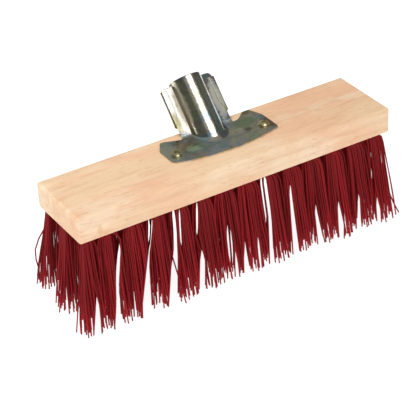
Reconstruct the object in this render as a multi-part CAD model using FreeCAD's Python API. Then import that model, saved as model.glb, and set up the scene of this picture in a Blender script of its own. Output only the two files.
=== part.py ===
import FreeCAD, Part
import math
import os

from FreeCAD import Rotation, Vector

# Push broom head: a drilled beech block, 70 bristle tufts held by wire anchors, and a two-piece
# pressed-steel handle socket fixed with two wood screws. Millimetres, +Z up.
# The origin lies on the floor under the middle of the block; +X runs along the block and the
# handle leans back towards +Y.

# ---- block
BLOCK_LENGTH = 320.0
BLOCK_WIDTH = 75.0
BLOCK_THICKNESS = 25.0
EDGE_ROUND = 2.5          # softened long edges
HEEL_ROUND = 5.0          # back lower long edge, rounded more
END_ROUND = 2.4           # softened ends

# ---- tufts
BRISTLE_TRIM = 88.0       # from the block's underside to the bristle tips
ROW_COUNT = 5
TUFTS_IN_ROW = 14         # every other row is set along by half a pitch
END_MARGIN = 8.0          # from the block's end to the middle of the nearest tuft
SIDE_MARGIN = 7.5         # from the block's long side to the outer row
TUFT_HOLE_RADIUS = 4.0
TUFT_HOLE_DEPTH = 0.52 * BLOCK_THICKNESS
TUFT_TIP_RADIUS = 9.5     # how far one tuft has fanned out at the floor
END_SPLAY = 5.5           # the end tufts' tips lean out this far lengthways
SIDE_SPLAY = 12.0         # the outer rows' tips lean out this far sideways
TUFT_FIT = 0.1            # bristles to the wall of their hole
TUFT_FOLD_GAP = 0.3       # folded bristles to the bottom of their hole

# ---- tuft anchors, cut from flat wire
ANCHOR_THICKNESS = 0.5
ANCHOR_HEIGHT = 2.4
ANCHOR_BITE = 0.7         # how far each end cuts into the wood
FOLD_HEIGHT = 2.0         # bristles folded between the anchor and the hole's bottom
ANCHOR_FIT = 0.15         # bristles to the anchor

# ---- handle socket
SHEET = 1.2               # steel sheet of both pressings
HANDLE_BORE_RADIUS = 14.0
SOCKET_LEAN = 46.0        # degrees between the handle and the block's top
SOCKET_X = 5.0            # the socket sits a little off the middle
FOLD_Y = 0.5 * BLOCK_WIDTH - 12.5  # where the parting plane meets the block's top
FOLD_RADIUS = 1.5         # inside of the bend from plate to flanges
SOCKET_HALF_WIDTH = 28.0  # over the hemmed flanges
FLANGE_TOP = 48.0         # along the handle, from the block's top
CHANNEL_TOP = 51.0
FLANGE_CORNER = 4.0
CHANNEL_FILLET = 2.0      # pressed corner from flange to channel
SHELL_START = 11.0        # lower end of the rear shell, clear of the block's edge
RUN_OUT = 0.3             # the channel is this much wider below the handle's end
SHELL_TOP = 50.0
HEM_START = 13.0
HEM_WIDTH = 3.6

# ---- base plate of the front pressing
PLATE_HALF_WIDTH = 55.0
PLATE_FRONT_CORNER_Y = FOLD_Y - 32.0
PLATE_FRONT_BOW = 9.0     # the front edge bows forward by this much
PLATE_SHOULDER_Y = FOLD_Y - 5.0  # the sides run straight up to here
EAR_OUTER_X = 49.0
EAR_INNER_X = 43.0
EAR_Y = FOLD_Y + 9.0
NOTCH_X = 33.0
NOTCH_Y = FOLD_Y + 0.5
PLATE_CORNER = 5.0
EAR_CORNER = 2.5
BEAD_X = 24.0             # stiffening beads pressed up from the plate
BEAD_Y = FOLD_Y - 20.0
BEAD_HALF_LENGTH = 10.0
BEAD_HALF_WIDTH = 5.5
BEAD_HEIGHT = 1.4

# ---- screws
SCREW_SPACING = 91.0
SCREW_Y = FOLD_Y - 21.8
SCREW_LENGTH = 0.48 * BLOCK_THICKNESS  # under the head; short of the tuft holes below
HEAD_RADIUS = 5.2
HEAD_RIM = 0.7
HEAD_HEIGHT = 3.2
RECESS_LENGTH = 5.6
RECESS_WIDTH = 1.1
RECESS_DEPTH = 1.7
THREAD_RADIUS = 2.5
THREAD_ROOT_RADIUS = 1.8
THREAD_PITCH = 2.0
SCREW_NECK = 3.0          # plain shank under the head
SCREW_TURNS = (31.0, 24.0)  # each recess points its own way
PLATE_HOLE_CLEARANCE = 0.3
PILOT_CLEARANCE = 0.02
PILOT_SPARE_DEPTH = 0.4

# ---- worked out from the sizes above
HALF_PITCH = (BLOCK_LENGTH - 2.0 * END_MARGIN) / (2 * TUFTS_IN_ROW - 1)
ROW_SPACING = (BLOCK_WIDTH - 2.0 * SIDE_MARGIN) / (ROW_COUNT - 1)
UNDERSIDE_Z = BRISTLE_TRIM
TOP_Z = BRISTLE_TRIM + BLOCK_THICKNESS
LEAN = math.radians(SOCKET_LEAN)
SHELL_RADIUS = HANDLE_BORE_RADIUS + SHEET
FLANGE_HALF_WIDTH = SOCKET_HALF_WIDTH - 1.5 * SHEET
REACH = 2.0 * BLOCK_LENGTH  # longer than anything that it trims


def save(shape, node):
    shape.exportStep(os.path.join("parts", node + ".step"))
    print(node, len(shape.Solids), "solids,", round(shape.Volume / 1000.0, 2), "cm3")


def polyline_face(points):
    """A flat face bounded by straight lines through the points."""
    return Part.Face(Part.makePolygon(points + [points[0]]))


def half_space(origin, rotation):
    """A large box whose lower face lies at origin, in the rotated XY plane."""
    box = Part.makeBox(REACH, REACH, REACH, Vector(-REACH / 2.0, -REACH / 2.0, 0.0))
    box.Placement = FreeCAD.Placement(origin, rotation)
    return box


ABOVE_BLOCK = half_space(Vector(0.0, 0.0, TOP_Z), Rotation())
ABOVE_FLOOR = half_space(Vector(0.0, 0.0, 0.0), Rotation())


# ---------------------------------------------------------------- tufts and their holes
def tuft_columns():
    """The tufts' middles on the block's underside, a list for each column across the block."""
    columns = []
    for column in range(2 * TUFTS_IN_ROW):
        x = END_MARGIN - BLOCK_LENGTH / 2.0 + column * HALF_PITCH
        rows = range(column % 2, ROW_COUNT, 2)
        columns.append([(x, (row - (ROW_COUNT - 1) / 2.0) * ROW_SPACING) for row in rows])
    return columns


def tuft_places():
    return [place for column in tuft_columns() for place in column]


def tuft_direction(x, y):
    """The way a tuft points out of its hole: the further out it stands, the more it leans."""
    end_x = BLOCK_LENGTH / 2.0 - END_MARGIN
    outer_y = BLOCK_WIDTH / 2.0 - SIDE_MARGIN
    lean_x = x / end_x * END_SPLAY / BRISTLE_TRIM
    lean_y = y / outer_y * SIDE_SPLAY / BRISTLE_TRIM
    return Vector(lean_x, lean_y, -1.0).normalize()


def on_tuft_axis(shape, x, y):
    """Put a shape made along +Z, mouth at z = 0 and bristles above it, on a tuft's own axis."""
    turned = shape.copy()
    turn = Rotation(Vector(0.0, 0.0, 1.0), tuft_direction(x, y))
    turned.Placement = FreeCAD.Placement(Vector(x, y, UNDERSIDE_Z), turn)
    return turned


def hole_cutter():
    """The drilled blind hole, run on a little way out of its mouth."""
    return Part.makeCylinder(TUFT_HOLE_RADIUS, TUFT_HOLE_DEPTH + EDGE_ROUND,
                             Vector(0.0, 0.0, -TUFT_HOLE_DEPTH))


def anchor_wire(grow):
    """The flat wire across the hole; grow widens it for the gap that the bristles leave."""
    half_length = TUFT_HOLE_RADIUS + ANCHOR_BITE
    bottom = -TUFT_HOLE_DEPTH + FOLD_HEIGHT
    return Part.makeBox(2.0 * half_length, ANCHOR_THICKNESS + 2.0 * grow, ANCHOR_HEIGHT + 2.0 * grow,
                        Vector(-half_length, -ANCHOR_THICKNESS / 2.0 - grow, bottom - grow))


def tuft_solid():
    """One bundle of bristles: straight in its hole, fanned out below, folded over its anchor."""
    root_radius = TUFT_HOLE_RADIUS - TUFT_FIT
    root_depth = TUFT_HOLE_DEPTH - TUFT_FOLD_GAP
    root = Part.makeCylinder(root_radius, root_depth, Vector(0.0, 0.0, -root_depth))
    flare = (TUFT_TIP_RADIUS - root_radius) / BRISTLE_TRIM
    run = BRISTLE_TRIM + 2.0 * TUFT_TIP_RADIUS
    fan = Part.makeCone(root_radius, root_radius + flare * run, run)
    return root.fuse(fan).cut(anchor_wire(ANCHOR_FIT))


def make_tufts():
    pattern = tuft_solid()
    for number, column in enumerate(tuft_columns(), start=1):
        tufts = [on_tuft_axis(pattern, x, y).common(ABOVE_FLOOR).removeSplitter() for x, y in column]
        save(Part.makeCompound(tufts), "tufts_column_%02d" % number)


def make_anchors():
    wire = anchor_wire(0.0)
    save(Part.makeCompound([on_tuft_axis(wire, x, y) for x, y in tuft_places()]), "tuft_anchors")


# ---------------------------------------------------------------- screws
def screw_places():
    """Each screw's node name and place."""
    return [("screw_" + end, SOCKET_X + side * SCREW_SPACING / 2.0, SCREW_Y)
            for end, side in (("left", -1), ("right", 1))]


def screw_solid():
    """A pan-head wood screw along -Z, with the underside of its head at z = 0."""
    crown = Part.Arc(Vector(HEAD_RADIUS, 0.0, HEAD_RIM),
                     Vector(0.72 * HEAD_RADIUS, 0.0, 0.78 * HEAD_HEIGHT),
                     Vector(0.0, 0.0, HEAD_HEIGHT)).toShape()
    side = [Vector(0.0, 0.0, HEAD_HEIGHT), Vector(0.0, 0.0, -SCREW_LENGTH)]
    crests = int((SCREW_LENGTH - SCREW_NECK) / THREAD_PITCH)
    for crest in reversed(range(crests)):
        z = -SCREW_NECK - crest * THREAD_PITCH
        side.append(Vector(THREAD_ROOT_RADIUS, 0.0, z - 0.75 * THREAD_PITCH))
        side.append(Vector(THREAD_RADIUS, 0.0, z - 0.5 * THREAD_PITCH))
        side.append(Vector(THREAD_ROOT_RADIUS, 0.0, z - 0.25 * THREAD_PITCH))
    side += [Vector(THREAD_ROOT_RADIUS, 0.0, -SCREW_NECK), Vector(THREAD_RADIUS, 0.0, -SCREW_NECK),
             Vector(THREAD_RADIUS, 0.0, 0.0), Vector(HEAD_RADIUS, 0.0, 0.0),
             Vector(HEAD_RADIUS, 0.0, HEAD_RIM)]
    edges = [Part.makeLine(start, end) for start, end in zip(side, side[1:])]
    profile = Part.Face(Part.Wire(edges + [crown]))
    solid = profile.revolve(Vector(0.0, 0.0, 0.0), Vector(0.0, 0.0, 1.0), 360.0)
    for length_x, length_y in ((RECESS_LENGTH, RECESS_WIDTH), (RECESS_WIDTH, RECESS_LENGTH)):
        corner = Vector(-length_x / 2.0, -length_y / 2.0, HEAD_HEIGHT - RECESS_DEPTH)
        solid = solid.cut(Part.makeBox(length_x, length_y, HEAD_HEIGHT, corner))
    return solid


def make_screws():
    seat_z = TOP_Z + SHEET
    for (node, x, y), turn in zip(screw_places(), SCREW_TURNS):
        screw = screw_solid()
        screw.Placement = FreeCAD.Placement(Vector(x, y, seat_z), Rotation(Vector(0, 0, 1), turn))
        save(screw, node)


# ---------------------------------------------------------------- block
def block_blank():
    """The planed stock: a rounded end profile run along X, with its two ends softened."""
    half = BLOCK_WIDTH / 2.0
    stock = Part.makeBox(BLOCK_LENGTH, BLOCK_WIDTH, BLOCK_THICKNESS,
                         Vector(-BLOCK_LENGTH / 2.0, -half, UNDERSIDE_Z))
    along_x = [edge for edge in stock.Edges if abs(edge.Vertexes[0].X - edge.Vertexes[1].X) > 1.0]
    heel = [edge for edge in along_x if edge.Vertexes[0].Y > 0 and edge.Vertexes[0].Z < TOP_Z - 1.0]
    others = [edge for edge in along_x if not any(edge.isSame(other) for other in heel)]
    stock = stock.makeFillet(EDGE_ROUND, others)
    heel = [edge for edge in stock.Edges
            if edge.Length > 0.9 * BLOCK_LENGTH
            and abs(edge.Vertexes[0].Y - half) < 1e-6
            and abs(edge.Vertexes[0].Z - UNDERSIDE_Z) < 1e-6]
    stock = stock.makeFillet(HEEL_ROUND, heel)
    ends = [edge for edge in stock.Edges
            if abs(abs(edge.Vertexes[0].X) - BLOCK_LENGTH / 2.0) < 1e-6
            and abs(edge.Vertexes[0].X - edge.Vertexes[-1].X) < 1e-6]
    return stock.makeFillet(END_ROUND, ends)


def make_block():
    hole = hole_cutter()
    wire = anchor_wire(0.0)
    cutters = [on_tuft_axis(shape, x, y) for shape in (hole, wire) for x, y in tuft_places()]
    pilot_depth = SCREW_LENGTH - SHEET + PILOT_SPARE_DEPTH
    for _, x, y in screw_places():
        cutters.append(Part.makeCylinder(THREAD_RADIUS + PILOT_CLEARANCE, pilot_depth + 1.0,
                                         Vector(x, y, TOP_Z - pilot_depth)))
    save(block_blank().cut(cutters), "wood_block")


# ---------------------------------------------------------------- handle socket
# Both pressings are drawn in the socket's own frame: x across, y along the handle and z out of
# the front of the parting plane, which holds the handle's axis.
def to_socket(shape):
    placed = shape.copy()
    tilt = Rotation(Vector(1.0, 0.0, 0.0), SOCKET_LEAN)
    placed.Placement = FreeCAD.Placement(Vector(SOCKET_X, FOLD_Y, TOP_Z), tilt)
    return placed


def along_handle(face, start, end):
    """Run a cross-section, drawn at y = 0, along the handle from start to end."""
    moved = face.copy()
    moved.translate(Vector(0.0, start, 0.0))
    return moved.extrude(Vector(0.0, end - start, 0.0))


def half_ring(sign):
    """Half of the tube wall, on the front (+1) or the back (-1) of the parting plane."""
    outer, inner = SHELL_RADIUS, HANDLE_BORE_RADIUS
    wire = Part.Wire([
        Part.Arc(Vector(outer, 0.0, 0.0), Vector(0.0, 0.0, sign * outer),
                 Vector(-outer, 0.0, 0.0)).toShape(),
        Part.makeLine(Vector(-outer, 0.0, 0.0), Vector(-inner, 0.0, 0.0)),
        Part.Arc(Vector(-inner, 0.0, 0.0), Vector(0.0, 0.0, sign * inner),
                 Vector(inner, 0.0, 0.0)).toShape(),
        Part.makeLine(Vector(inner, 0.0, 0.0), Vector(outer, 0.0, 0.0))])
    return Part.Face(wire)


def pressed_corner(side, sign):
    """The small fillet where a flange turns into the half-round wall."""
    level = SHEET + CHANNEL_FILLET
    reach = SHELL_RADIUS + CHANNEL_FILLET
    middle_x = math.sqrt(reach ** 2 - level ** 2)
    touch_x = middle_x * SHELL_RADIUS / reach
    touch_z = level * SHELL_RADIUS / reach
    middle = Vector(middle_x, 0.0, level)
    tangent = Vector(middle_x, 0.0, SHEET)
    touch = Vector(touch_x, 0.0, touch_z)
    bulge = (tangent - middle) + (touch - middle)
    bulge = middle + bulge.normalize() * CHANNEL_FILLET
    root = Vector(HANDLE_BORE_RADIUS + SHEET / 2.0, 0.0, SHEET / 2.0)
    base = Vector(middle_x, 0.0, SHEET / 2.0)
    wire = Part.Wire([Part.Arc(tangent, bulge, touch).toShape(), Part.makeLine(touch, root),
                      Part.makeLine(root, base), Part.makeLine(base, tangent)])
    corner = Part.Face(wire)
    return corner.transformGeometry(FreeCAD.Matrix(side, 0, 0, 0, 0, 1, 0, 0, 0, 0, sign, 0))


def strip(inner_x, outer_x, low, high):
    """A rectangle of sheet in the cross-section."""
    return polyline_face([Vector(inner_x, 0.0, low), Vector(outer_x, 0.0, low),
                          Vector(outer_x, 0.0, high), Vector(inner_x, 0.0, high)])


def fused(shapes):
    return shapes[0].fuse(shapes[1:]).removeSplitter()


def flange_pair(half_width, low, high, start):
    """Both flanges as one wide strip with rounded top corners, before the bore is cut."""
    wide = along_handle(strip(-half_width, half_width, low, high), start, FLANGE_TOP)
    corners = [edge for edge in wide.Edges
               if abs(edge.Vertexes[0].Y - FLANGE_TOP) < 1e-6
               and abs(edge.Vertexes[1].Y - FLANGE_TOP) < 1e-6
               and abs(edge.Vertexes[0].Z - edge.Vertexes[1].Z) > SHEET / 2.0]
    return wide.makeFillet(FLANGE_CORNER, corners)


def handle_space():
    """The round space inside the socket: the handle's own, and a wider run-out below its end."""
    along = Vector(0.0, 1.0, 0.0)
    handle = Part.makeCylinder(HANDLE_BORE_RADIUS, REACH, Vector(0.0, SHELL_START, 0.0), along)
    run_out = Part.makeCylinder(HANDLE_BORE_RADIUS + RUN_OUT, REACH,
                                Vector(0.0, SHELL_START - REACH, 0.0), along)
    return handle.fuse(run_out)


def plate_blank():
    """The base plate's outline, pulled up by one sheet from the block's top."""
    front_y = PLATE_FRONT_CORNER_Y
    right = [Vector(PLATE_HALF_WIDTH, front_y, 0.0), Vector(PLATE_HALF_WIDTH, PLATE_SHOULDER_Y, 0.0),
             Vector(EAR_OUTER_X, EAR_Y, 0.0), Vector(EAR_INNER_X, EAR_Y, 0.0),
             Vector(NOTCH_X, NOTCH_Y, 0.0), Vector(FLANGE_HALF_WIDTH, FOLD_Y - bend_reach(), 0.0)]
    left = [Vector(-point.x, point.y, 0.0) for point in reversed(right)]
    outline = right + left
    edges = [Part.makeLine(start, end) for start, end in zip(outline, outline[1:])]
    bow = Part.Arc(left[-1], Vector(0.0, front_y - PLATE_FRONT_BOW, 0.0), right[0]).toShape()
    plate = Part.Face(Part.Wire(edges + [bow])).extrude(Vector(0.0, 0.0, SHEET))

    def upright(points):
        return [edge for edge in plate.Edges if abs(edge.Vertexes[0].Z - edge.Vertexes[1].Z) > 0.5
                and any(abs(abs(edge.Vertexes[0].X) - x) < 1e-6 and abs(edge.Vertexes[0].Y - y) < 1e-6
                        for x, y in points)]

    plate = plate.makeFillet(PLATE_CORNER, upright([(PLATE_HALF_WIDTH, front_y),
                                                    (PLATE_HALF_WIDTH, PLATE_SHOULDER_Y)]))
    return plate.makeFillet(EAR_CORNER, upright([(EAR_OUTER_X, EAR_Y), (EAR_INNER_X, EAR_Y),
                                                 (NOTCH_X, NOTCH_Y)]))


def bend_reach():
    """From the fold line back to where the flat plate ends and the bend begins."""
    return (FOLD_RADIUS + SHEET) * math.tan(LEAN / 2.0)


def bend_solid():
    """The rounded bend that turns the plate up into the flanges."""
    middle = Vector(0.0, FOLD_Y - bend_reach(), SHEET + FOLD_RADIUS)

    def point(radius, angle):
        return middle + Vector(0.0, radius * math.sin(angle), -radius * math.cos(angle))

    inner, outer = FOLD_RADIUS, FOLD_RADIUS + SHEET
    wire = Part.Wire([
        Part.Arc(point(inner, 0.0), point(inner, LEAN / 2.0), point(inner, LEAN)).toShape(),
        Part.makeLine(point(inner, LEAN), point(outer, LEAN)),
        Part.Arc(point(outer, LEAN), point(outer, LEAN / 2.0), point(outer, 0.0)).toShape(),
        Part.makeLine(point(outer, 0.0), point(inner, 0.0))])
    face = Part.Face(wire)
    face.translate(Vector(-FLANGE_HALF_WIDTH, 0.0, 0.0))
    return face.extrude(Vector(2.0 * FLANGE_HALF_WIDTH, 0.0, 0.0))


def bead(x, spare):
    """A pressed-up oval bead; spare thins it to the hollow underneath."""
    ball = Part.makeSphere(1.0)
    half_length = BEAD_HALF_LENGTH - spare
    half_width = BEAD_HALF_WIDTH - spare
    height = BEAD_HEIGHT + SHEET - spare
    oval = ball.transformGeometry(FreeCAD.Matrix(half_length, 0, 0, x, 0, half_width, 0, BEAD_Y,
                                                 0, 0, height, 0))
    return oval.common(half_space(Vector(), Rotation()))


def on_block(shape):
    """Lift a shape drawn at the socket's middle on z = 0 to the block's top."""
    moved = shape.copy()
    moved.translate(Vector(SOCKET_X, 0.0, TOP_Z))
    return moved


def make_front_pressing():
    """Base plate, bend, two flanges and the half-round channel, all one sheet."""
    plate = plate_blank()
    for side in (-1, 1):
        plate = plate.fuse(bead(side * BEAD_X, 0.0))
    for side in (-1, 1):
        plate = plate.cut(bead(side * BEAD_X, SHEET))
    flanges = flange_pair(FLANGE_HALF_WIDTH, 0.0, SHEET, bend_reach())
    channel = along_handle(half_ring(1), -2.0 * SHELL_RADIUS, CHANNEL_TOP)
    corners = [along_handle(pressed_corner(side, 1), -2.0 * SHELL_RADIUS, FLANGE_TOP)
               for side in (-1, 1)]
    upper = to_socket(fused([flanges, channel] + corners)).common(ABOVE_BLOCK)
    pressing = fused([on_block(plate), on_block(bend_solid()), upper])
    pressing = pressing.cut(to_socket(handle_space()))
    hole_radius = THREAD_RADIUS + PLATE_HOLE_CLEARANCE
    for _, x, y in screw_places():
        pressing = pressing.cut(Part.makeCylinder(hole_radius, 3.0 * SHEET, Vector(x, y, TOP_Z - SHEET)))
    save(pressing.removeSplitter(), "socket_front_pressing")


def hem_section(side):
    """The folded-over edge: a half turn round the front flange and a short lip on its face."""
    middle = Vector(FLANGE_HALF_WIDTH, 0.0, SHEET / 2.0)
    outer, inner = 1.5 * SHEET, 0.5 * SHEET
    up, out = Vector(0.0, 0.0, 1.0), Vector(1.0, 0.0, 0.0)
    lip = Vector(-HEM_WIDTH, 0.0, 0.0)
    wire = Part.Wire([
        Part.Arc(middle - up * outer, middle + out * outer, middle + up * outer).toShape(),
        Part.makeLine(middle + up * outer, middle + up * outer + lip),
        Part.makeLine(middle + up * outer + lip, middle + up * inner + lip),
        Part.makeLine(middle + up * inner + lip, middle + up * inner),
        Part.Arc(middle + up * inner, middle + out * inner, middle - up * inner).toShape(),
        Part.makeLine(middle - up * inner, middle - up * outer)])
    return Part.Face(wire).transformGeometry(FreeCAD.Matrix(side, 0, 0, 0, 0, 1, 0, 0, 0, 0, 1, 0))


def make_rear_shell():
    """The half-round back of the socket, hemmed round the front pressing's flanges."""
    flanges = flange_pair(FLANGE_HALF_WIDTH, -SHEET, 0.0, SHELL_START)
    wall = along_handle(half_ring(-1), SHELL_START, SHELL_TOP)
    corners = [along_handle(pressed_corner(side, -1), SHELL_START, FLANGE_TOP) for side in (-1, 1)]
    hems = [along_handle(hem_section(side), HEM_START, FLANGE_TOP - FLANGE_CORNER) for side in (-1, 1)]
    shell = fused([flanges, wall] + corners + hems).cut(handle_space())
    save(to_socket(shell).removeSplitter(), "socket_rear_shell")


os.makedirs("parts", exist_ok=True)
make_block()
make_tufts()
make_anchors()
make_front_pressing()
make_rear_shell()
make_screws()
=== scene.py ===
# %% [markdown]
# # A push broom head
# A drilled beech block carries 70 tufts of stiff red bristle below and a pressed-steel handle
# socket on top. The measured model gives every size and place, so the whole object could be
# shown by giving its pieces finishes. That is what this file does with the block, the screws
# and the wire anchors. It swaps the pieces whose real shape is finer than the measured solid:
# the bristles and the two pressings of the socket.

# %% Load the measured model
import math

import bpy
import numpy as np
from mathutils import Matrix, Vector


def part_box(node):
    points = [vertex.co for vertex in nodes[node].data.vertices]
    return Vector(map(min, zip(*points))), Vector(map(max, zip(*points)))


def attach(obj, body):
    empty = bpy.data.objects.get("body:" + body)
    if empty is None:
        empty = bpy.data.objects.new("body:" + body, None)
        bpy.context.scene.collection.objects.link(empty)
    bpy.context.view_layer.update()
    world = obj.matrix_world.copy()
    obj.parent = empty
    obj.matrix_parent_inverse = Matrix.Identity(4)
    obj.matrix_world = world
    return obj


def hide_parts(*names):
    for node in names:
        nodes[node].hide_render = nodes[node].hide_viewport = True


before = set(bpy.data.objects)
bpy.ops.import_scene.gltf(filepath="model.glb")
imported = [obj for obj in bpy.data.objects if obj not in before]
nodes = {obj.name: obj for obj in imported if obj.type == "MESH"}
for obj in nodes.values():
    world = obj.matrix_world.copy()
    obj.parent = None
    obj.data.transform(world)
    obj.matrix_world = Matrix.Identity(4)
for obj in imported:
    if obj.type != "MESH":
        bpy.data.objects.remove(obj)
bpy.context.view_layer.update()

MM = 0.001

# %% [markdown]
# ## Writing a finish as sums
# A procedural finish is arithmetic on the place of each point. Blender spells that as a web of
# boxes, which is hard to read back, so a `Value` stands for one number on the surface and
# `a + b * 2` adds the Math nodes. Everything that isn't plain arithmetic is one call to
# `Finish.node`, with its settings first and then what goes into its sockets.


# %% A value on the surface, and a finish
class Value:
    """One output socket. Arithmetic on it adds the Math node that works the sum out."""

    def __init__(self, finish, socket):
        self.finish, self.socket = finish, socket

    def math(self, operation, *terms):
        return self.finish.node("ShaderNodeMath", {"operation": operation}, dict(enumerate(terms)))

    def __add__(self, other):
        return self.math("ADD", self, other)

    def __mul__(self, other):
        return self.math("MULTIPLY", self, other)

    def __sub__(self, other):
        return self.math("SUBTRACT", self, other)

    def __rsub__(self, other):
        return self.math("SUBTRACT", other, self)

    def __abs__(self):
        return self.math("ABSOLUTE", self)

    __radd__, __rmul__ = __add__, __mul__


class Finish:
    """A material or the room, being finished; `shader` is the node that its values feed."""

    def __init__(self, owner, shader="Principled BSDF", **constants):
        owner.use_nodes = True
        self.owner, self.tree = owner, owner.node_tree
        self.shader = self.tree.nodes[shader]
        self.feed(**constants)

    def node(self, kind, settings, sockets, output=0):
        """Add a node: its settings first, then a value or a link for each socket."""
        made = self.tree.nodes.new(kind)
        for key, value in settings.items():
            if key == "stops":
                for _ in value[2:]:
                    made.color_ramp.elements.new(0.5)
                for element, (position, colour) in zip(made.color_ramp.elements, value):
                    element.position, element.color = position, (*colour, 1.0)
            else:
                setattr(made, key, value)
        for key, value in sockets.items():
            self.set(made.inputs[key], value)
        return Value(self, made.outputs[output])

    def set(self, socket, value):
        if isinstance(value, Value):
            self.tree.links.new(value.socket, socket)
        elif isinstance(value, tuple) and len(value) == 3 and socket.type == "RGBA":
            socket.default_value = (*value, 1.0)
        else:
            socket.default_value = value

    def feed(self, **values):
        """Set or connect the shader's sockets, _ standing for a space in their names."""
        for socket, value in values.items():
            self.set(self.shader.inputs[socket.replace("_", " ")], value)

    def place(self, scale=(1.0, 1.0, 1.0), turn=(0.0, 0.0, 0.0), shift=(0.0, 0.0, 0.0)):
        """The point's own place on the piece, in metres, shifted, turned and scaled."""
        at = self.node("ShaderNodeTexCoord", {}, {}, "Object")
        return self.node("ShaderNodeMapping", {}, {"Vector": at, "Location": shift,
                                                   "Rotation": turn, "Scale": scale})

    def noise(self, place, detail=3.0, rough=0.5, distort=0.0):
        """Cloudy noise, about one blot for each unit of `place`."""
        return self.node("ShaderNodeTexNoise", {},
                         {"Vector": place, "Scale": 1.0, "Detail": detail,
                          "Roughness": rough, "Distortion": distort})

    def between(self, value, low, high, to_low=0.0, to_high=1.0):
        """An S-curve from to_low, at low, to to_high, at high, held level outside."""
        return self.node("ShaderNodeMapRange", {"interpolation_type": "SMOOTHSTEP"},
                         {"Value": value, "From Min": low, "From Max": high,
                          "To Min": to_low, "To Max": to_high})

    def near(self, centre, reach, wobble=0.0):
        """1 round a place, falling to 0 at about `reach` from it, both in metres; `wobble`
        makes the edge uneven."""
        scale = tuple(1.0 / r for r in reach)
        at = self.place(scale, shift=tuple(-c * k for c, k in zip(centre, scale)))
        away = self.node("ShaderNodeVectorMath", {"operation": "LENGTH"}, {0: at}, "Value")
        return self.between(away + wobble, 0.45, 1.1, 1.0, 0.0)

    def mix(self, amount, first, second):
        """Colours mixed; sockets 0, 6 and 7 are the amount and the two colours."""
        return self.node("ShaderNodeMix", {"data_type": "RGBA"},
                         {0: amount, 6: first, 7: second}, 2)

    def bump(self, height, distance):
        """Relief: a height of 1 stands for this many metres."""
        return self.node("ShaderNodeBump", {}, {"Height": height, "Distance": distance})


print("finish helpers ready")

# %% [markdown]
# ## Beech
# Planed beech is pale and pinkish, with soft growth bands along the plank, fine fibres, and the
# short brown flecks of its rays. It could be painted face by face, but then the bands would
# break at every edge. One pattern in solid space does for all six faces, because the rings are
# shells round the tree's axis: they show as long bands on the top and the front and as arcs on
# the sawn ends.


# %% Beech finish
def beech_finish():
    """Rings are the distance from an axis below the block, bent by slow noise along the grain.
    Fibres, streaks and flecks are noise stretched along it, one finer than the other."""
    wood = Finish(bpy.data.materials.new("beech"), Specular_IOR_Level=0.35)
    slow = wood.noise(wood.place((4.0, 22.0, 22.0)), 2.0)
    rings_at = wood.place((0.35, 9.0, 9.0), (0.02, 0.03, 0.055), (0.0, 0.11, 0.04))
    bent = wood.node("ShaderNodeVectorMath", {"operation": "MULTIPLY_ADD"},
                     {0: slow, 1: (0.0, 0.16, 0.16), 2: rings_at})
    rings = wood.node("ShaderNodeTexWave", {"wave_type": "RINGS", "rings_direction": "X",
                                            "wave_profile": "SIN"},
                      {"Vector": bent, "Scale": 3.4, "Distortion": 1.6, "Detail": 3.0,
                       "Detail Scale": 1.4}, "Fac")
    along, askew = (0.0, 0.0, 0.03), (0.0, 0.0, -0.20)
    fibre = wood.noise(wood.place((26.0, 520.0, 520.0), along), 4.0, 0.6)
    streak = wood.noise(wood.place((22.0, 170.0, 170.0), askew), 3.0, 0.55, 0.3)
    pores = wood.noise(wood.place((150.0, 900.0, 900.0), askew), 2.0, 0.5)
    patch = wood.noise(wood.place((9.0, 24.0, 24.0), (0.0, 0.0, -0.12)), 3.0, 0.5)
    pale = wood.noise(wood.place((16.0, 30.0, 30.0), askew, (2.0, 5.0, 1.0)), 3.0, 0.6)
    fleck = wood.between(pores, 0.60, 0.72)
    knot = wood.near((-0.1405, -0.0375, 0.0965), (0.003, 0.006, 0.006))
    yellow, pink = (0.86, 0.62, 0.40), (0.86, 0.52, 0.33)
    colour = wood.mix(wood.between(patch, 0.38, 0.62), yellow, pink)
    for amount, shade in ((wood.between(pale, 0.5, 0.68) * 0.75, (0.90, 0.71, 0.52)),
                          (rings * 0.20, (0.70, 0.42, 0.24)),
                          (wood.between(streak, 0.50, 0.70) * 0.42, (0.72, 0.40, 0.24)),
                          (wood.between(fibre, 0.45, 0.8) * 0.30, (0.62, 0.37, 0.22)),
                          (fleck * 0.40, (0.50, 0.26, 0.14)),
                          (knot * 0.55, (0.74, 0.45, 0.20))):
        colour = wood.mix(amount, colour, shade)
    height = fibre * 0.6 - fleck * 0.5 + rings * 0.2
    wood.feed(Base_Color=colour, Roughness=0.46 + fibre * 0.16, Normal=wood.bump(height, 0.00012))
    return wood.owner


BEECH = beech_finish()
print("beech has", len(BEECH.node_tree.nodes), "nodes")

# %% Finish the block
def dress(node, material):
    """Give a measured piece its finish."""
    for place in nodes[node].material_slots:
        place.material = material


dress("wood_block", BEECH)
block_low, block_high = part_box("wood_block")
UNDERSIDE, TOP = block_low[2], block_high[2]
print("block", [round((b - a) / MM, 1) for a, b in zip(block_low, block_high)], "mm")

# %% [markdown]
# ## Bristles
# Each tuft is a bundle of stiff plastic filaments pushed, folded in two, into a drilled hole.
# They leave the hole packed side by side and fan out to the floor, nearly straight, cling
# together in clumps, and end raggedly. Hair particles would not export as a mesh, so every
# filament is a thin six-sided tube, and a whole column of tufts is worked out at once.

# %% Where the tufts stand
COLUMNS, END_MARGIN, ROW_SPACING = 28, 8.0 * MM, 15.0 * MM
END_X, OUTER_Y = block_high[0] - END_MARGIN, 2.0 * ROW_SPACING
HOLE_RADIUS, FILAMENT_RADIUS = 3.3 * MM, 0.68 * MM
random = np.random.default_rng(11)


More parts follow.
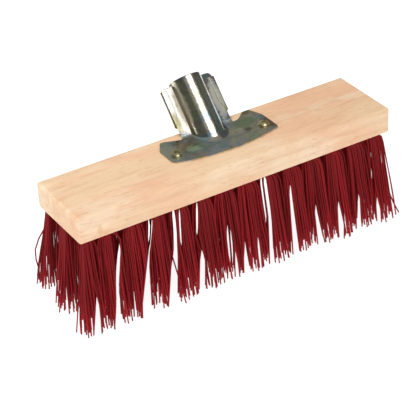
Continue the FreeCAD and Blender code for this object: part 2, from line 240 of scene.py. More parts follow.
def tuft_column(number):
    """The tufts of one column: x from the column's number, three or two rows across."""
    x = END_X * (2.0 * (number - 1) / (COLUMNS - 1) - 1.0)
    rows = range((number - 1) % 2, 5, 2)
    return [(x, (row - 2) * ROW_SPACING) for row in rows]


print("tuft columns", [len(tuft_column(n)) for n in range(1, COLUMNS + 1)])

# %% [markdown]
# ## Partings
# A used row of tufts has partings: thin places where the bristles lean away from each other and
# daylight shows. They line up through all the rows for an eye in front and to the left, so each
# is drawn as a line on the front row's plane, as that eye sees it. Bristles near a parting could
# be left out, but that would thin its edges. They are pushed out of it instead, which packs them.

# %% Partings
EYE = np.array([-668.0, -1102.0, 864.0]) * MM
PARTING_SOFT, PARTING_FREE, PARTING_MARGIN, PARTING_CLOSES = 0.8 * MM, 4.5 * MM, 3.0 * MM, 0.6
PARTINGS = [  # each from its foot up: height, x and half width, in millimetres
    [(-12, -147.5, 3.6), (28, -144.8, 0.5)],
    [(-14, -130.5, 0.0), (12, -127.0, 0.0), (26, -125.5, 0.9), (42, -123.5, 1.8),
     (58, -121.5, 1.3), (72, -118.0, 0.2)],
    [(-12, -102.0, 1.6), (10, -99.5, 0.4), (38, -94.5, 0.3), (65, -89.0, 0.5), (88, -86.0, 0.5)],
    [(60, -91.8, 0.5), (84, -89.2, 0.5)],
    [(-14, -71.5, 4.2), (34, -67.0, 3.0), (42, -65.6, 1.7), (66, -64.8, 1.3), (88, -66.0, 1.2)],
    [(44, -60.0, 0.5), (84, -59.6, 0.4)],
    [(48, -43.5, 0.6), (84, -41.5, 0.7)],
    [(-12, -41.0, 2.6), (20, -39.0, 2.6), (30, -38.5, 1.5)],
    [(6, -10.0, 0.6), (34, -11.6, 1.1), (48, -12.3, 0.5)],
    [(8, -7.2, 0.6), (40, -8.6, 0.4)],
    [(-12, -3.4, 1.6), (16, -4.2, 0.8)],
    [(-12, 7.5, 3.2), (18, 5.4, 0.8)],
    [(-8, 21.5, 1.1), (24, 19.8, 0.4)],
    [(34, 30.0, 0.6), (60, 27.0, 0.8), (88, 23.8, 0.8)],
    [(-12, 34.5, 2.2), (0, 34.0, 1.8), (40, 33.3, 1.4), (72, 29.6, 1.3), (88, 27.8, 1.1)],
    [(-12, 61.5, 3.2), (66, 55.0, 0.6)],
    [(-12, 89.5, 3.2), (36, 82.0, 0.4)],
    [(-10, 113.5, 3.6), (30, 108.0, 0.5)],
    [(-8, 132.5, 2.4), (28, 132.0, 0.5)],
    [(-10, 157.0, 3.0), (18, 152.0, 0.5)]]


def above(value, least, soft):
    """Soft maximum, least + k log(1 + exp((value - least) / k)); it is never below least."""
    return least + soft * np.logaddexp(0.0, (value - least) / soft)


def part(paths):
    """Push bristle lines, shaped (line, station, 3), sideways out of the partings.

    With s a line's distance from a parting's middle, on the side where the line runs, and w
    the parting's half width, s becomes the soft maximum of s and w. Beyond its ends a parting
    closes, w falling fast below zero. A bristle isn't pushed where it leaves the wood.
    """
    paths = paths.copy()
    ratio = (paths[..., 1] - EYE[1]) / (-OUTER_Y - EYE[1])
    seen = EYE[2] + (paths[..., 2] - EYE[2]) / ratio
    free = np.clip((UNDERSIDE - paths[..., 2]) / PARTING_FREE, 0.0, 1.0)
    for parting in PARTINGS:
        height, middle, half = np.array(parting).T * MM
        beyond = np.maximum(np.maximum(height[0] - seen, seen - height[-1]), 0.0)
        within = beyond < PARTING_MARGIN
        half = np.interp(seen, height, half) + FILAMENT_RADIUS - PARTING_CLOSES * beyond
        away = EYE[0] + (paths[..., 0] - EYE[0]) / ratio - np.interp(seen, height, middle)
        side = np.sign((away * within).sum(axis=1, keepdims=True))
        pushed = above(side * away, half, PARTING_SOFT)
        paths[..., 0] += side * (pushed - side * away) * free * ratio
    return paths


print(len(PARTINGS), "partings")

# %% [markdown]
# ## The outermost bristles
# A bundle that opens quickly would bulge past the wood at the ends and along the sides. Moving
# its tuft inwards would leave the measured hole, so the bristles get a limit instead: they press
# against it softly, leave the wood upright, and lean out more and more on their way down.

# %% A limit for the outermost bristles
END_LEAN, SIDE_LEAN, LEAN_GROWTH, LIMIT_SOFT = 15.0 * MM, 17.0 * MM, 1.3, 1.5 * MM


def keep_in(paths):
    """The outermost bristles leave the wood upright and lean out evenly, without a bulge: none
    stands further out than outer hole + lean * (share of the way down) ** growth."""
    down = np.clip((UNDERSIDE - paths[..., 2]) / UNDERSIDE, 0.0, 1.0)
    for axis, outer, lean in ((0, END_X, END_LEAN), (1, OUTER_Y, SIDE_LEAN)):
        limit = outer + HOLE_RADIUS + lean * down ** LEAN_GROWTH
        sign, size = np.sign(paths[..., axis]), np.abs(paths[..., axis])
        paths[..., axis] = sign * -above(-size, -limit, LIMIT_SOFT)
    return paths


print("tips lean out up to", END_LEAN / MM, "mm at the ends,", SIDE_LEAN / MM, "mm at the sides")

# %% [markdown]
# ## One bundle
# Forty filaments share one hole. Their roots could be scattered at random, but random places
# leave holes and piles. A sunflower's order, each one a golden angle further round and a little
# further out, packs them evenly. Each tip lies along the same ray as its root, so the bundle
# fans out without crossing itself, and the randomness comes on top.

# %% How a bundle opens
COUNT = 40
STATIONS = np.array([-0.11, 0.0, 0.02, 0.05, 0.12, 0.25, 0.4, 0.55, 0.7, 0.85, 1.0])
QUICK, QUICK_WITHIN = np.array([0.66, 0.36]), 0.03


def spread(at):
    """How much of its final spread a bundle has along and across the row at a station: it opens
    quickly where it leaves the wood, then runs straight, q (1 - exp(-at / w)) + (1 - q) at."""
    at = np.clip(at, 0.0, 1.0)[:, None]
    return QUICK * (1.0 - np.exp(-at / QUICK_WITHIN)) + (1.0 - QUICK) * at


def filament_points(x, y, filaments, at):
    """Points shaped (filament, station, 3) at stations, 0 at the hole's mouth and 1 at the tip:
    middle of the tuft + root + (tip - root) * spread + bow * sin(pi * station)."""
    root, tip, bow, tip_z = filaments
    ahead = np.clip(at, 0.0, 1.0)
    flat = (np.array([x, y]) + root[:, None] + (tip - root)[:, None] * spread(at)
            + bow[:, None] * np.sin(math.pi * ahead)[:, None])
    height = UNDERSIDE + (tip_z[:, None] - UNDERSIDE) * at
    return np.concatenate([flat, height[:, :, None]], axis=2)


print("a bundle of", COUNT, "opens by", spread(np.array([0.05]))[0].round(2), "near the wood")

# %% The bundle in one hole
GOLDEN_ANGLE = 2.39996
TIP_REACH, TIP_STRAY, BOW = np.array([15.0, 12.5]) * MM, 1.2 * MM, 0.7 * MM
END_SPLAY, SIDE_SPLAY, SET = 8.0 * MM, 8.5 * MM, 4.0 * MM
CLUMPS, CLUMP_NEAR, CLUMP_FAR, CLING = 5, 3.0 * MM, 11.0 * MM, 0.15
UNEVEN, STUMP_SHARE, STUMP_SHORTER = 1.8 * MM, 0.04, 7.0 * MM
TUFT_UNEVEN, BACK_LEFT_SHORTER = 3.5 * MM, 7.0 * MM


def draw_filaments(x, y, clumps, level):
    """Draw root and tip offsets, bow and tip height for the filaments of a tuft at x, y."""
    lean = np.array([SET + x / END_X * END_SPLAY, y / OUTER_Y * SIDE_SPLAY])
    turn = np.arange(COUNT)
    angle = GOLDEN_ANGLE * turn + random.uniform(0.0, 2.0 * math.pi)
    out = np.sqrt((turn + random.random(COUNT)) / COUNT)
    ray = np.stack([np.cos(angle), np.sin(angle)], axis=1)
    root = ray * (out * HOLE_RADIUS)[:, None]
    tip = ray * out[:, None] * TIP_REACH + random.normal(0.0, TIP_STRAY, (COUNT, 2))
    nearest = np.argmin(np.linalg.norm(tip[:, None] - clumps, axis=2), axis=1)
    tip += (clumps[nearest] - tip) * random.uniform(0.0, CLING, (COUNT, 1))
    tip += lean
    bow = random.normal(0.0, BOW, (COUNT, 2))
    short = np.abs(random.normal(0.0, UNEVEN, COUNT))
    short += (random.random(COUNT) < STUMP_SHARE) * STUMP_SHORTER
    return root, tip, bow, level + short


def tuft_paths(x, y):
    """The filament lines of one tuft, kept out of the partings. Tufts differ in length, and
    those that lean far out at the back left end higher up."""
    angle = random.uniform(0.0, 2.0 * math.pi, CLUMPS)
    reach = random.uniform(CLUMP_NEAR, CLUMP_FAR, (CLUMPS, 1))
    clumps = np.stack([np.cos(angle), np.sin(angle)], axis=1) * reach
    level = random.uniform(0.0, TUFT_UNEVEN) * (y > -OUTER_Y or x > -END_X)
    level += BACK_LEFT_SHORTER * max(-x / END_X, 0.0) ** 8 * max(y / OUTER_Y, 0.0) ** 2
    drawn = draw_filaments(x, y, clumps, level)
    return part(keep_in(filament_points(x, y, drawn, STATIONS)))


print("tips reach", TIP_REACH / MM, "mm from the middle of their tuft")

# %% [markdown]
# ## Filaments from lines
# A line becomes a filament by putting a ring of six points round each of its places and joining
# ring to ring. Curves with a bevel would do that too, but a curve can't carry a number for each
# filament, which the finish needs. Six sides are enough for something a millimetre thick.

# %% Tubes, and a new piece
SIDES = 6


def tubes(paths, radius):
    """Tubes round lines: ring k of a line is centre + radius (cos a * across + sin a * beside)."""
    ahead = np.gradient(paths, axis=1)
    ahead /= np.linalg.norm(ahead, axis=2, keepdims=True)
    across = np.cross(ahead, [0.0, 1.0, 0.0])
    across /= np.linalg.norm(across, axis=2, keepdims=True)
    beside = np.cross(ahead, across)
    angle = np.arange(SIDES) * 2.0 * math.pi / SIDES
    ring = (np.cos(angle)[:, None] * across[:, :, None]
            + np.sin(angle)[:, None] * beside[:, :, None])
    points = paths[:, :, None] + radius * ring
    index = np.arange(points[..., 0].size).reshape(points.shape[:3])
    beyond = np.roll(index, -1, axis=2)
    walls = np.stack([index[:, :-1], beyond[:, :-1], beyond[:, 1:], index[:, 1:]], axis=-1)
    starts, ends = index[:, 0, ::-1], index[:, -1]
    faces = walls.reshape(-1, 4).tolist() + starts.tolist() + ends.tolist()
    return points.reshape(-1, 3), faces


def add_piece(name, points, faces, material, stands_for):
    """A finished mesh piece that rides on the body and stands for measured pieces."""
    mesh = bpy.data.meshes.new(name)
    mesh.from_pydata(points, [], faces)
    mesh.materials.append(material)
    mesh.polygons.foreach_set("use_smooth", np.ones(len(mesh.polygons), dtype=bool))
    mesh.update()
    piece = bpy.data.objects.new(name, mesh)
    bpy.context.scene.collection.objects.link(piece)
    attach(piece, "root")
    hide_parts(*stands_for)
    return piece


print("tube maker ready")

# %% [markdown]
# ## Bristle plastic
# Extruded filament is a deep red, slightly see-through plastic with a satin skin. Filaments of
# one batch differ a little. A material for each would be wasteful, so each filament carries a
# number, `tone`, and one finish reads it. Towards the floor the bristles are painted brighter,
# painted light below the block's shade, and a faint painted glow lifts the shade between them and
# stands for the light that passes through the bundle.


# %% Bristle finish
def bristle_finish():
    """Colour runs from dark to bright red with each filament's own tone, and with height: painted
    brighter towards the floor, as painted light below the block's shade.
    """
    # the faint red emission is a painted glow that lifts the shade between the filaments
    plastic = Finish(bpy.data.materials.new("bristle_plastic"), Specular_IOR_Level=0.14,
                     Emission_Color=(0.9, 0.05, 0.06), Emission_Strength=0.022)
    tone = plastic.node("ShaderNodeAttribute", {"attribute_name": "tone"}, {}, "Fac")
    streak = plastic.noise(plastic.place((900.0, 900.0, 30.0)), 2.0)
    height = plastic.node("ShaderNodeSeparateXYZ", {}, {"Vector": plastic.place()}, "Z")
    # painted light: brighter within 5 cm of the floor, darker up under the block where its shade
    # falls
    painted_light_low = plastic.between(height, 0.0, 0.05, 0.3, 0.0)
    mixed = tone * 0.6 + streak * 0.3 + painted_light_low
    colour = plastic.node("ShaderNodeValToRGB", {"stops": [
        (0.0, (0.09, 0.004, 0.003)), (0.45, (0.19, 0.006, 0.008)), (1.0, (0.40, 0.010, 0.020))]},
        {"Fac": mixed}, "Color")
    plastic.feed(Base_Color=colour, Roughness=0.5 + streak * 0.15)
    return plastic.owner


BRISTLE = bristle_finish()
print("bristle has", len(BRISTLE.node_tree.nodes), "nodes")

# %% [markdown]
# ## Loose bristles
# A few bristles always stray from the curtain, and the eye finds them at once. Chance would not
# put them where they belong, so each is drawn as five places, and a smooth curve is laid
# through them.

# %% Lines of the loose bristles
LOOSE = {  # column: lines of five places that single bristles pass through
    1: [[(-152, 30, 88), (-157.5, 34, 68), (-165.5, 40, 48), (-165.5, 42, 30), (-166, 43, 15)],
        [(-152, 30, 88), (-153.5, 34, 70), (-156.5, 38, 50), (-160.5, 41, 30), (-164, 44, 9)],
        [(-151, 31, 88), (-151.5, 35, 70), (-154, 39, 50), (-157, 42, 30), (-160, 45, 7)]],
    8: [[(-73.2, -15, 88), (-74, -26, 66), (-73, -36, 44), (-71.5, -44, 22), (-70, -51, 0.5)]],
    27: [[(140.7, -30, 88), (148, -33, 66), (154, -37, 44), (160, -41, 22), (168, -44, 2)]]}


def loose_paths(number):
    """Each line is the quartic through its five places."""
    powers = np.arange(5)[:, None]
    places = np.array(LOOSE.get(number, np.empty((0, 5, 3)))) * MM
    known = np.linspace(0.0, 1.0, 5) ** powers
    wanted = np.clip(STATIONS, -0.02, 1.0) ** powers
    return np.einsum("lpc,pk,ks->lsc", places, np.linalg.inv(known), wanted)


print(sum(map(len, LOOSE.values())), "loose bristles")


# %% Make all the tufts
def add_tufts(number):
    """One column's bristles as one mesh, standing for that column's measured tufts."""
    paths = np.concatenate([tuft_paths(x, y) for x, y in tuft_column(number)]
                           + [loose_paths(number)])
    points, faces = tubes(paths, FILAMENT_RADIUS)
    piece = add_piece("bristles_%02d" % number, points, faces, BRISTLE,
                      ["tufts_column_%02d" % number])
    tone = np.repeat(random.beta(2.0, 2.0, len(paths)), len(STATIONS) * SIDES)
    piece.data.attributes.new("tone", "FLOAT", "POINT").data.foreach_set("value", tone)
    return piece


bristles = [add_tufts(number) for number in range(1, COLUMNS + 1)]
print(sum(len(b.data.polygons) for b in bristles), "faces in", len(bristles), "pieces")

# %% [markdown]
# ## Zinc plate
# The socket is zinc-plated sheet with a thin yellow passivation. It mirrors the room softly and
# shows faint oily colours, green, brown and lilac, with drawing marks along the handle. Noise
# alone gives such colours but not their places, so on top of it each colour that belongs
# somewhere, such as the brown end of the plate, is a soft round patch at that place. Two patches
# are painted light: a bright stripe down the tube is a painted reflection, and the left bead's
# pale green carries a painted highlight. The screws carry a more golden film of the same kind,
# and the anchors are plain steel wire.


# %% Zinc finish
LEAN = math.radians(46.0)
DIRT = (0.30, 0.29, 0.22)


def zinc_finish(name, film, metal, amount, rough, patches=()):
    """Bare metal under a thin film whose colour runs through the stops of `film`.

    Each patch is a place, how far it reaches, its colour, and how strong and how dull it is.
    """
    zinc = Finish(bpy.data.materials.new(name), Metallic=1.0)
    drift = zinc.noise(zinc.place((110.0, 110.0, 110.0)), 4.0, 0.6, 0.8)
    hue = zinc.noise(zinc.place((40.0, 40.0, 40.0), shift=(3.0, 1.0, 2.0)), 4.0, 0.6, 1.2)
    drawn = zinc.noise(zinc.place((700.0, 50.0, 700.0), (-LEAN, 0.0, 0.0)), 3.0, 0.6)
    tint = zinc.node("ShaderNodeValToRGB", {"stops": film}, {"Fac": hue}, "Color")
    colour = zinc.mix(amount, metal, tint)
    colour = zinc.mix(zinc.between(drift, 0.42, 0.72) * 0.4, colour, DIRT)
    roughness = rough + drift * 0.08 + drawn * 0.05
    for centre, reach, shade, strength, dull in patches:
        here = zinc.near(centre, reach, drift - 0.5)
        colour = zinc.mix(here * strength, colour, shade)
        roughness = roughness + here * dull
    zinc.feed(Base_Color=colour, Roughness=roughness,
              Normal=zinc.bump(drawn * 0.3 + drift * 1.6, 0.00014))
    return zinc.owner


print("drawing marks lean", round(math.degrees(LEAN)), "degrees, as the handle does")

# %% Films and patches
OILY = [(0.28, (0.36, 0.56, 0.44)), (0.40, (0.80, 0.76, 0.52)), (0.48, (0.82, 0.66, 0.52)),
        (0.56, (0.56, 0.58, 0.78)), (0.64, (0.32, 0.56, 0.62)), (0.74, (0.62, 0.70, 0.46))]
GOLD = [(0.3, (0.86, 0.68, 0.26)), (0.5, (0.90, 0.74, 0.36)), (0.7, (0.76, 0.66, 0.30))]
PLAIN = [(0.0, (0.6, 0.6, 0.6)), (1.0, (0.6, 0.6, 0.6))]
# film colours at their places, two of them painted light: a reflection on the tube, a highlight on
# a bead
TINTS_AND_PAINTED_SHEEN = [  # place, reach, colour, how strong, how dull
    # the right flange, dull
    ((0.0272, 0.042, 0.131), (0.0068, 0.024, 0.024), (0.90, 0.87, 0.76), 0.85, 0.38),
    # the plate's right end, brown
    ((0.059, 0.004, 0.114), (0.010, 0.012, 0.02), (0.36, 0.20, 0.12), 0.8, 0.15),
    # the right ear, olive
    ((0.049, 0.032, 0.114), (0.006, 0.005, 0.02), (0.42, 0.32, 0.08), 0.8, 0.10),
    # the right of the plate, green
    ((0.038, 0.017, 0.114), (0.015, 0.010, 0.02), (0.36, 0.50, 0.30), 0.7, 0.05),
    # the left bead, pale green: partly the film's green, partly a painted highlight
    ((-0.019, 0.005, 0.115), (0.012, 0.007, 0.02), (0.62, 0.78, 0.50), 0.8, 0.05),
    # the left flange, dull
    ((-0.017, 0.045, 0.133), (0.007, 0.030, 0.030), (0.76, 0.74, 0.67), 0.95, 0.14),
    # the left flange's edge, yellow
    ((-0.020, 0.036, 0.124), (0.005, 0.012, 0.012), (0.42, 0.37, 0.17), 0.8, 0.06),
    # a bright stripe down the tube, a painted reflection
    ((0.010, 0.036, 0.134), (0.0045, 0.030, 0.030), (0.97, 0.95, 0.84), 0.9, 0.0),
    # the left of the tube, brown and grey
    ((-0.0105, 0.039, 0.137), (0.0045, 0.026, 0.026), (0.74, 0.65, 0.52), 0.85, 0.30),
    # the left of the plate, yellow
    ((-0.044, 0.008, 0.114), (0.014, 0.020, 0.02), (0.86, 0.84, 0.70), 0.7, 0.12)]
ZINC = zinc_finish("zinc_plate", OILY, (0.78, 0.77, 0.68), 0.7, 0.09, TINTS_AND_PAINTED_SHEEN)
SCREW = zinc_finish("screw_zinc", GOLD, (1.0, 0.92, 0.64), 0.6, 0.26)
STEEL = zinc_finish("anchor_steel", PLAIN, (0.6, 0.6, 0.6), 0.5, 0.3)
for node in ("screw_left", "screw_right"):
    dress(node, SCREW)
dress("tuft_anchors", STEEL)
print("metal finishes ready")

# %% [markdown]
# ## The socket's two pressings
# One sheet makes the base plate, the bend and the front of the tube; a second one closes the
# tube behind and is hemmed round the first one's edges. Pressed sheet has no sharp inside
# corners. They could be bevelled, but a bevel can't cross the place where plate, flange and tube
# meet. So the front is worked out as a solid with fillets: each point of a grid looks out from
# inside the metal and stops where the distance to the filleted solid reaches zero.

# %% The socket's own frame
SHEET, TUBE = 1.2 * MM, 15.2 * MM
front_low, front_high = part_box("socket_front_pressing")
FOLD = np.array([(front_low[0] + front_high[0]) / 2.0, 25.0 * MM, TOP])
SWEEP = math.tan(math.radians(5.0))


def from_socket(u, l, h):
    """u across, l along the handle, h out of the parting plane's front, to the part's frame."""
    u, l, h = np.broadcast_arrays(u, l, h)
    return FOLD + np.stack([u, l * math.cos(LEAN) - h * math.sin(LEAN),
                            l * math.sin(LEAN) + h * math.cos(LEAN)], axis=-1)


def step(value, low, high):
    """0 below low, 1 above high, and 3 t^2 - 2 t^3 between them."""
    t = np.clip((value - low) / (high - low), 0.0, 1.0)
    return t * t * (3.0 - 2.0 * t)


def filleted(first, second, radius):
    """Distance to two solids joined with a fillet: radius - hypot(radius - a, radius - b)."""
    near = np.hypot(np.maximum(radius - first, 0.0), np.maximum(radius - second, 0.0))
    return np.where(near > 0.0, radius - near, np.minimum(first, second))


def look_out(u, l, base, distance, inside=-12.0 * MM):
    """Halve the span 40 times along lines from (0, inside) through (u, base), row l constant."""
    low, high = np.full(l.shape, 0.3), np.full(l.shape, 3.0)
    for _ in range(40):
        middle = (low + high) / 2.0
        out = distance(u * middle, l, inside + (base - inside) * middle) > 0.0
        low, high = np.where(out, low, middle), np.where(out, middle, high)
    return u * low, inside + (base - inside) * low


print("socket stands at", np.round(FOLD / MM, 2))


# %% Front pressing as a distance
BEND_FILLET, TUBE_FILLET, FOOT_FILLET = 0.9 * MM, 1.0 * MM, 2.6 * MM


def plate_level(l):
    """Height h of the plate's top over the parting plane, at l along the handle."""
    return np.maximum(SHEET, (SHEET - l * math.sin(LEAN)) / math.cos(LEAN))


def sweep(u, l):
    """How far the flanges lean back beside the tube, growing out of the flat bend."""
    return SWEEP * np.maximum(np.abs(u) - TUBE, 0.0) * step(l, 0.0, 10.0 * MM)


def front_distance(u, l, h):
    """Plate, swept flanges and tube, joined with fillets; the tube's widens towards its foot."""
    plate = l * math.sin(LEAN) + h * math.cos(LEAN) - SHEET
    flange = h - SHEET + sweep(u, l)
    radius = TUBE_FILLET + (FOOT_FILLET - TUBE_FILLET) * step(-l, -8.0 * MM, 2.0 * MM)
    return filleted(filleted(plate, flange, BEND_FILLET), np.hypot(u, h) - TUBE, radius)


print("flanges lean back", round(math.degrees(math.atan(SWEEP))), "degrees beside the tube")

# %% Outline of the sheet
FLANGE_EDGE, PLATE_EDGE = 26.2 * MM, 55.0 * MM
JOIN_Y, BOW_Y, BOW_DEPTH = 23.85 * MM, -7.0 * MM, 9.0 * MM
CORNER, CORNER_Y, CORNER_FROM = 5.0 * MM, -3.375 * MM, 51.55 * MM
BEAD_X, BEAD_Y, BEAD_LONG, BEAD_WIDE, BEAD_HIGH = (v * MM for v in (24.0, 5.0, 11.0, 6.2, 1.4))
LEFT_EAR = np.array([(26.2, 23.85), (30.0, 24.0), (36.0, 26.0), (43.0, 28.6), (46.0, 29.0),
                     (47.4, 28.2), (54.2, 17.0), (54.8, 16.0), (55.0, 14.8)]) * MM
RIGHT_EAR = np.array([(26.2, 23.85), (30.0, 24.2), (33.5, 25.6), (41.5, 33.0), (43.5, 34.0),
                      (48.5, 34.0), (49.6, 33.2), (54.4, 21.0), (54.85, 20.0), (55.0, 18.9)]) * MM


def plate_back(u):
    """The plate's back edge: straight runs between the corners of each ear."""
    return np.where(u < 0.0, np.interp(-u, *LEFT_EAR.T), np.interp(u, *RIGHT_EAR.T))


def plate_front(u):
    """A parabola that bows forward, depth (1 - (u / edge)^2), and a round at each corner."""
    u = np.abs(u)
    bow = BOW_Y - BOW_DEPTH * (1.0 - (u / PLATE_EDGE) ** 2)
    round_x = u - (PLATE_EDGE - CORNER)
    corner = CORNER_Y - np.sqrt(np.maximum(CORNER ** 2 - round_x ** 2, 0.0))
    return np.where(u > CORNER_FROM, corner, bow)


def bead(x, y):
    """Pressed-up ovals, high (1 - r^2)^2, with r going from 0 in the middle to 1 at the rim."""
    r = np.hypot((np.abs(x) - BEAD_X) / BEAD_LONG, (y - BEAD_Y) / BEAD_WIDE)
    return BEAD_HIGH * np.maximum(1.0 - r * r, 0.0) ** 2


def sheet_top(u, tube_top):
    """Top edge, along the handle: the left flange is lower and its corner sharper, each corner
    is a quarter round, and the tube stands a little higher than the flanges."""
    level, size = np.where(u < 0.0, 48.0, 50.0) * MM, np.where(u < 0.0, 2.2, 4.5) * MM
    over = np.maximum(np.abs(u) - (FLANGE_EDGE - size), 0.0)
    rounded = level - (size - np.sqrt(np.maximum(size ** 2 - over ** 2, 0.0)))
    return rounded + (tube_top - level) * step(-np.abs(u), -16.6 * MM, -15.2 * MM)


def mirrored(half):
    """A run of values from 0 up, with its mirror image in front."""
    return np.concatenate([-half[:0:-1], half])


half_centre = np.concatenate([np.linspace(0.0, 15.0, 34)[:-1], np.linspace(15.0, 18.0, 10)[:-1],
                              18.0 + 8.2 * np.sin(np.linspace(0.0, math.pi / 2.0, 14))]) * MM
half_side = np.concatenate([np.linspace(26.2, 50.0, 30)[1:-1],
                            50.0 + 5.0 * np.sin(np.linspace(0.0, math.pi / 2.0, 12))]) * MM
CENTRE = mirrored(half_centre)
ACROSS = mirrored(np.concatenate([half_centre, half_side]))
print(len(ACROSS), "columns across the plate,", len(CENTRE), "up the flanges")


# %% Front pressing as a grid
PLATE_ROWS, FLANGE_ROWS, FRONT_TOP = 62, 66, 51.0 * MM
BESIDE = np.abs(ACROSS) > FLANGE_EDGE + 1e-6


def quads(index):
    """Four corners round each cell of a grid of vertex numbers."""
    return np.stack([index[:-1, :-1], index[:-1, 1:], index[1:, 1:], index[1:, :-1]],
                    axis=-1).reshape(-1, 4).tolist()


def along_handle(y):
    """The l of the point y on the plate's top: (y - fold + sheet tan a) cos a."""
    return (y + SHEET * math.tan(LEAN) - FOLD[1]) * math.cos(LEAN)


def pressed_front(u, l):
    """The front pressing's skin, looked out to through the points u, l."""
    u, h = look_out(u, l, plate_level(l) - sweep(u, l), front_distance)
    return from_socket(u, l, h)


def plate_rows():
    """Rows from the plate's front edge to its back edge or to the fold, with the beads."""
    front, back = plate_front(ACROSS), np.where(BESIDE, plate_back(ACROSS), JOIN_Y)
    y = front + np.linspace(0.0, 1.0, PLATE_ROWS)[:, None] * (back - front)
    plate = pressed_front(ACROSS, along_handle(y))
    flat = np.broadcast_arrays(FOLD[0] + ACROSS[BESIDE], y[:, BESIDE], TOP + SHEET)
    plate[:, BESIDE] = np.stack(flat, axis=-1)
    plate[..., 2] += bead(plate[..., 0] - FOLD[0], plate[..., 1])
    return plate


def flange_rows():
    """Rows from the fold, which the plate already has, to the top of tube and flanges."""
    join, top = along_handle(JOIN_Y), sheet_top(CENTRE, FRONT_TOP)
    l = join + np.linspace(0.0, 1.0, FLANGE_ROWS)[1:, None] * (top - join)
    return pressed_front(CENTRE, l)


def front_pressing():
    """Both grids in one mesh; the flanges' first row is the middle of the plate's last one."""
    plate, flanges = plate_rows(), flange_rows()
    first = np.arange(plate[..., 0].size).reshape(plate.shape[:2])
    second = first.size + np.arange(flanges[..., 0].size).reshape(flanges.shape[:2])
    second = np.concatenate([first[-1:, ~BESIDE], second])
    points = np.concatenate([plate.reshape(-1, 3), flanges.reshape(-1, 3)])
    return points, quads(first) + quads(second)


def thicken(piece, offset):
    """Sheet thickness, then a hair of rounding along the cut edges."""
    wall = piece.modifiers.new("sheet", "SOLIDIFY")
    wall.thickness, wall.offset, wall.use_even_offset = SHEET, offset, True
    edge = piece.modifiers.new("edges", "BEVEL")
    edge.width, edge.segments, edge.limit_method = 0.25 * MM, 2, "ANGLE"
    edge.angle_limit = math.radians(50.0)


points, faces = front_pressing()
front = add_piece("front_pressing", points, faces, ZINC, ["socket_front_pressing"])
thicken(front, -1.0)
print("front pressing", len(faces), "faces")

# %% [markdown]
# ## Rear shell
# The rear half of the tube has flanges of its own, and their edges are folded forward round the
# front pressing's edges, which holds the two together without a weld. The fold could be a second
# piece, but sheet that goes round an edge is one sheet, so the same grid goes on: from the
# flange through a half turn to a short lip. The lip narrows towards the plate.


# %% Rear shell and its hems
REAR_START, REAR_TOP, REAR_ROWS = 11.0 * MM, 50.5 * MM, 56
TURN, LIP = np.linspace(0.0, 1.0, 9)[1:], np.linspace(0.0, 1.0, 6)[1:]
LIP_WIDTH, LEAST_LIP, LEAST_CURL, REAR_FILLET = 4.2 * MM, 0.12, 0.08, 2.4 * MM


def rear_distance(u, l, h):
    """The middle of the rear sheet, seen from behind, with the same sweep."""
    flange = h - SHEET / 2.0 - sweep(u, l)
    return filleted(flange, np.hypot(u, h) - (TUBE - SHEET / 2.0), REAR_FILLET)


def hem(sign, along):
    """The half turn, with a radius of one sheet, and the lip, shaped (3, row, place): u is edge
    + sheet sin a + reach cos a, h is sheet (1/2 - cos a) + reach (sin a) / 2, less the sweep."""
    along = along[:, None]
    curl = LEAST_CURL + (1.0 - LEAST_CURL) * step(along, 11.5 * MM, 14.5 * MM)
    width = LIP_WIDTH * (LEAST_LIP + (1.0 - LEAST_LIP) * step(along, 12.0 * MM, 24.0 * MM))
    angle = np.concatenate([TURN, np.ones(len(LIP))]) * math.pi * curl
    reach = np.concatenate([np.zeros(len(TURN)), LIP]) * width
    u = sign * (FLANGE_EDGE + SHEET * np.sin(angle) + reach * np.cos(angle))
    h = SHEET / 2.0 - SHEET * np.cos(angle) + reach * np.sin(angle) * 0.5
    h = h - sweep(FLANGE_EDGE, along) + reach * SWEEP * curl
    return np.stack(np.broadcast_arrays(u, along, h))


def rear_shell():
    """Half tube and flanges from the middle out, then a hem round each edge."""
    top = sheet_top(CENTRE, REAR_TOP)
    l = REAR_START + np.linspace(0.0, 1.0, REAR_ROWS)[:, None] * (top - REAR_START)
    u, h = look_out(CENTRE, l, SHEET / 2.0 + sweep(CENTRE, l), rear_distance)
    left, right = hem(-1.0, l[:, 0])[..., ::-1], hem(1.0, l[:, -1])
    u, l, h = np.concatenate([left, np.stack([u, l, -h]), right], axis=2)
    points = from_socket(u, l, h)
    return points.reshape(-1, 3), quads(np.arange(u.size).reshape(u.shape)[::-1])


points, faces = rear_shell()
rear = add_piece("rear_shell", points, faces, ZINC, ["socket_rear_shell"])
thicken(rear, 0.0)
print("rear shell", len(faces), "faces")

# %% [markdown]
# ## Floor and room
# Polished sheet shows its shape by mirroring a bright box next to darker room. An evenly white
# room would leave it without any shading, so the floor is pale but the room round it is grey,
# and darker towards the sides.


# %% Floor and room
def add_floor():
    """A wide sheet of pale paper that glows, so that it is as pale far from the lights."""
    paper = Finish(bpy.data.materials.new("floor_paper"), Base_Color=(0.32, 0.32, 0.32),
                   Roughness=0.9, Specular_IOR_Level=0.0, Emission_Color=(1.0, 1.0, 1.0),
                   Emission_Strength=0.92)
    mesh = bpy.data.meshes.new("floor")
    mesh.from_pydata([(-4, -4, 0), (4, -4, 0), (4, 4, 0), (-4, 4, 0)], [], [(0, 1, 2, 3)])
    mesh.materials.append(paper.owner)
    piece = bpy.data.objects.new("floor", mesh)
    bpy.context.scene.collection.objects.link(piece)


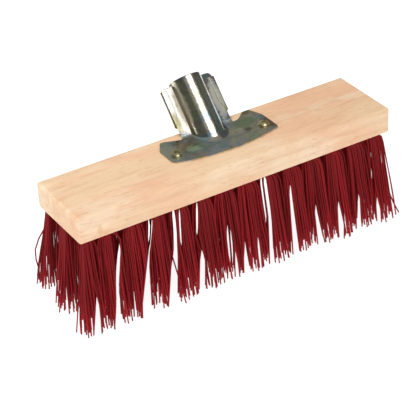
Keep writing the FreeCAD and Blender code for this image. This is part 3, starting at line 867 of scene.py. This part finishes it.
def add_room():
    """Grey walls, a little darker at the back and much darker at the left and the right."""
    room = Finish(bpy.data.worlds.new("room"), "Background")
    way = room.node("ShaderNodeTexCoord", {}, {}, "Generated")
    sideways = abs(room.node("ShaderNodeSeparateXYZ", {}, {"Vector": way}, "X"))
    backward = room.node("ShaderNodeSeparateXYZ", {}, {"Vector": way}, "Y")
    front, back, sides = (0.30, 0.31, 0.31), (0.25, 0.265, 0.235), (0.09, 0.10, 0.085)
    colour = room.mix(room.between(backward, 0.1, 0.6), front, back)
    colour = room.mix(room.between(sideways, 0.40, 0.66), colour, sides)
    room.feed(Color=colour)
    bpy.context.scene.world = room.owner


add_floor()
add_room()
bpy.context.scene.view_settings.view_transform = "Standard"
print("floor and room ready")

# %% [markdown]
# ## Soft boxes
# One box stands in front and overhead, where the tube and the flanges mirror it as a bright
# stripe. The wood and the bristles need light from below, from the left and from above as well,
# but those boxes would show in the metal too, so the metal doesn't mirror them.

# %% Soft boxes
SOCKET = np.array([0.0, 0.0, 0.12])


def add_softbox(name, toward, distance, size, power, mirrored=True):
    """An area light in the direction `toward` from the socket; metal mirrors it or not."""
    light = bpy.data.lights.new(name, "AREA")
    light.shape, light.size, light.size_y = "RECTANGLE", *size
    light.energy = power
    lamp = bpy.data.objects.new(name, light)
    bpy.context.scene.collection.objects.link(lamp)
    place = np.array(toward) / np.linalg.norm(toward) * distance + SOCKET
    lamp.location = place.tolist()
    lamp.rotation_euler = Vector((SOCKET - place).tolist()).to_track_quat("-Z", "Y").to_euler()
    lamp.visible_camera, lamp.visible_glossy = False, mirrored


add_softbox("box_front", (0.11, -0.61, 0.785), 1.3, (0.84, 0.6), 3.0)
add_softbox("fill_low", (-0.35, -0.9, 0.3), 1.5, (0.8, 0.6), 6.5, mirrored=False)
add_softbox("fill_top", (-0.35, 0.1, 1.0), 1.5, (1.0, 0.9), 16.4, mirrored=False)
add_softbox("fill_left", (-1.0, 0.35, 0.25), 1.5, (0.5, 0.6), 4.2, mirrored=False)
print("soft boxes ready")

# %% [markdown]
# ## Camera
# A long lens from about a metre and a half, in front, to the left and above, keeps the block's
# edges nearly parallel. The camera is rolled a little, which turning it to face a target can't
# do, so its three axes are worked out and set as a matrix.

# %% Camera
CAMERA_AZIMUTH, CAMERA_ELEVATION, CAMERA_ROLL = -30.694, 32.322, -2.733
CAMERA_DISTANCE = 1.49093
CAMERA_AIM = (-0.025319, -0.019026, 0.066715)


def add_camera():
    """The camera's right, up and back, from azimuth, elevation and a small roll about back."""
    a, e, r = map(math.radians, (CAMERA_AZIMUTH, CAMERA_ELEVATION, CAMERA_ROLL))
    back = np.array([math.sin(a) * math.cos(e), -math.cos(a) * math.cos(e), math.sin(e)])
    level = np.array([math.cos(a), math.sin(a), 0.0])
    up = np.cross(back, level)
    right = level * math.cos(r) + up * math.sin(r)
    up = up * math.cos(r) - level * math.sin(r)
    camera = bpy.data.cameras.new("camera")
    camera.lens, camera.sensor_width = 147.83, 36.0
    camera.clip_start, camera.clip_end = 0.05, 50.0
    holder = bpy.data.objects.new("camera", camera)
    place = np.array(CAMERA_AIM) + CAMERA_DISTANCE * back
    turned = np.eye(4)
    turned[:3, 0], turned[:3, 1], turned[:3, 2], turned[:3, 3] = right, up, back, place
    holder.matrix_world = Matrix(turned.tolist())
    bpy.context.scene.collection.objects.link(holder)
    bpy.context.scene.camera = holder


add_camera()
print("camera ready")
